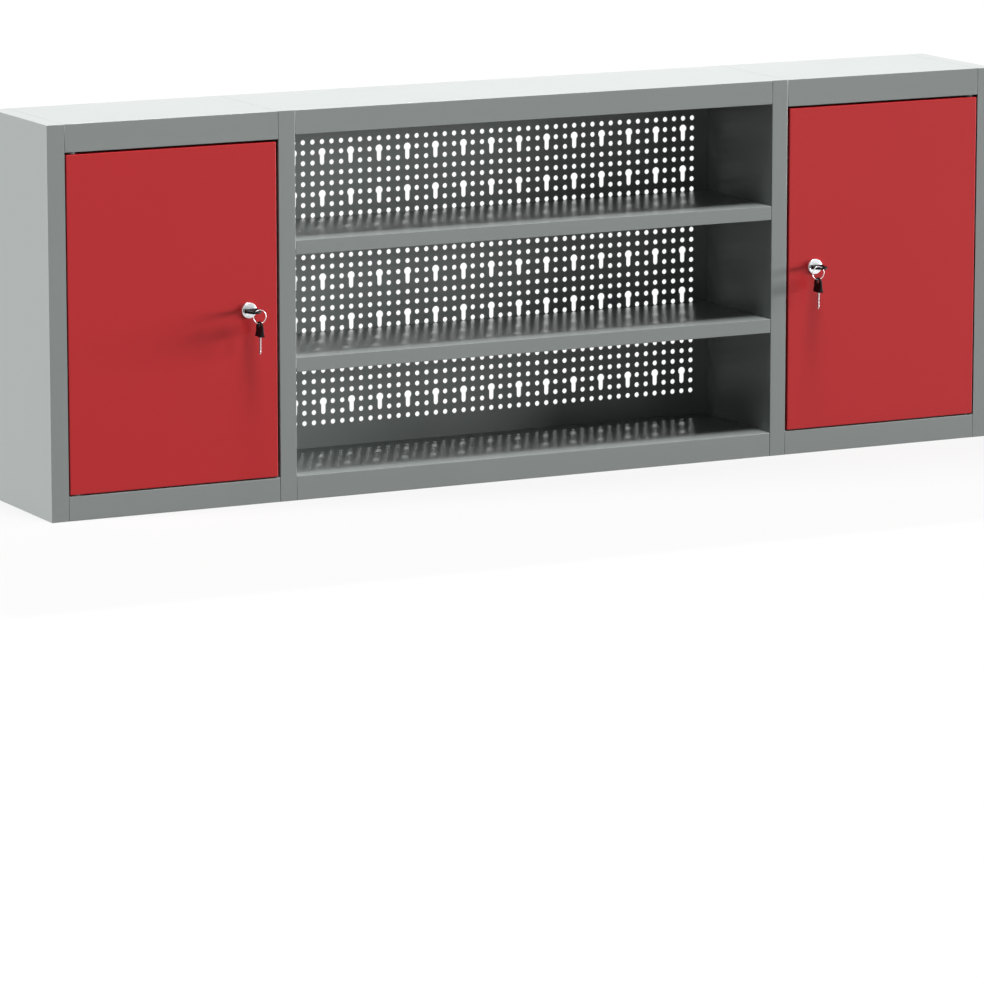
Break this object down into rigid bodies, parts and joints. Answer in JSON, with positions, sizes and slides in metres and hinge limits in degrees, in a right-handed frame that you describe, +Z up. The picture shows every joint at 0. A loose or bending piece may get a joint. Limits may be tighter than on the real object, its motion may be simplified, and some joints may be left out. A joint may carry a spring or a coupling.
{
  "type": "wall tool cabinet",
  "caption": "Wide sheet-steel tool cabinet with an open shelved centre bay, perforated back and a lockable flush door bay at each end, keys in the locks.",
  "frame": {"origin": "middle of the flat underside, half way along the width and the depth of the sheet-metal body, keys not counted", "axes": "+X to the right as seen by someone facing the doors, +Y from the front frame into the wall, +Z up"},
  "size_m": [1.2, 0.186, 0.439],
  "materials": {
    "grey_paint": "smooth powder coat, semi-matt",
    "red_paint": "smooth powder coat, semi-matt",
    "chrome": "polished plating",
    "steel": "bright zinc and nickel plate",
    "black_plastic": "fine moulded grain",
    "nylon": "natural nylon",
    "rubber": "soft pad"
  },
  "bodies": {
    "cabinet": {"left_side_panel": "grey_paint", "right_side_panel": "grey_paint", "left_partition": "grey_paint", "right_partition": "grey_paint", "left_roof_panel": "grey_paint", "centre_roof_panel": "grey_paint", "right_roof_panel": "grey_paint", "left_bottom_panel": "grey_paint", "centre_bottom_panel": "grey_paint", "right_bottom_panel": "grey_paint", "left_back_panel": "grey_paint", "right_back_panel": "grey_paint", "perforated_back_panel": "grey_paint", "upper_shelf": "grey_paint", "lower_shelf": "grey_paint", "shelf_angles": "grey_paint", "left_bay_shelf": "grey_paint", "right_bay_shelf": "grey_paint", "bay_shelf_angles": "grey_paint", "hinge_bushes": "nylon", "door_stops": "grey_paint", "door_bumpers": "rubber"},
    "left_door": {"left_door_skin": "red_paint", "left_door_stiffener": "red_paint", "left_hinge_pins": "steel", "left_lock_housing": "chrome", "left_lock_nut": "steel"},
    "left_lock_plug": {"left_lock_plug": "chrome", "left_lock_cam": "steel", "left_cam_screw": "steel"},
    "left_key": {"left_key_blade": "steel", "left_key_bow": "black_plastic"},
    "left_key_ring": {"left_key_ring": "steel"},
    "left_spare_key": {"left_spare_key_blade": "steel", "left_spare_key_bow": "black_plastic"},
    "right_door": {"right_door_skin": "red_paint", "right_door_stiffener": "red_paint", "right_hinge_pins": "steel", "right_lock_housing": "chrome", "right_lock_nut": "steel"},
    "right_lock_plug": {"right_lock_plug": "chrome", "right_lock_cam": "steel", "right_cam_screw": "steel"},
    "right_key": {"right_key_blade": "steel", "right_key_bow": "black_plastic"},
    "right_key_ring": {"right_key_ring": "steel"},
    "right_spare_key": {"right_spare_key_blade": "steel", "right_spare_key_bow": "black_plastic"}
  },
  "joints": [
    {"name": "left_door_hinge", "type": "hinge", "parent": "cabinet", "child": "left_door", "pos_m": [-0.5704, -0.072, 0.217], "axis": [0, 0, -1], "range_deg": [0, 95]},
    {"name": "left_lock_turn", "type": "hinge", "parent": "left_door", "child": "left_lock_plug", "pos_m": [-0.3611, -0.08, 0.2194], "axis": [0, 1, 0], "range_deg": [0, 90]},
    {"name": "left_key_slide", "type": "slide", "parent": "left_lock_plug", "child": "left_key", "axis": [0, -1, 0], "range_m": [0, 0.02]},
    {"name": "left_ring_turn", "type": "hinge", "parent": "left_key", "child": "left_key_ring", "pos_m": [-0.3611, -0.098, 0.2194], "axis": [0, 1, 0], "range_deg": [-90, 0]},
    {"name": "left_spare_key_swing", "type": "hinge", "parent": "left_key_ring", "child": "left_spare_key", "pos_m": [-0.356, -0.098, 0.20661], "axis": [1, 0, 0], "range_deg": [-60, 24]},
    {"name": "right_door_hinge", "type": "hinge", "parent": "cabinet", "child": "right_door", "pos_m": [0.5704, -0.072, 0.217], "axis": [0, 0, 1], "range_deg": [0, 95]},
    {"name": "right_lock_turn", "type": "hinge", "parent": "right_door", "child": "right_lock_plug", "pos_m": [0.3611, -0.08, 0.2194], "axis": [0, -1, 0], "range_deg": [0, 90]},
    {"name": "right_key_slide", "type": "slide", "parent": "right_lock_plug", "child": "right_key", "axis": [0, -1, 0], "range_m": [0, 0.02]},
    {"name": "right_ring_turn", "type": "hinge", "parent": "right_key", "child": "right_key_ring", "pos_m": [0.3611, -0.098, 0.2194], "axis": [0, -1, 0], "range_deg": [-90, 0]},
    {"name": "right_spare_key_swing", "type": "hinge", "parent": "right_key_ring", "child": "right_spare_key", "pos_m": [0.356, -0.098, 0.20661], "axis": [1, 0, 0], "range_deg": [-60, 24]}
  ],
  "couplings": [
    {"joint": "left_ring_turn", "follows": "left_lock_turn", "ratio": -1},
    {"joint": "right_ring_turn", "follows": "right_lock_turn", "ratio": -1}
  ]
}
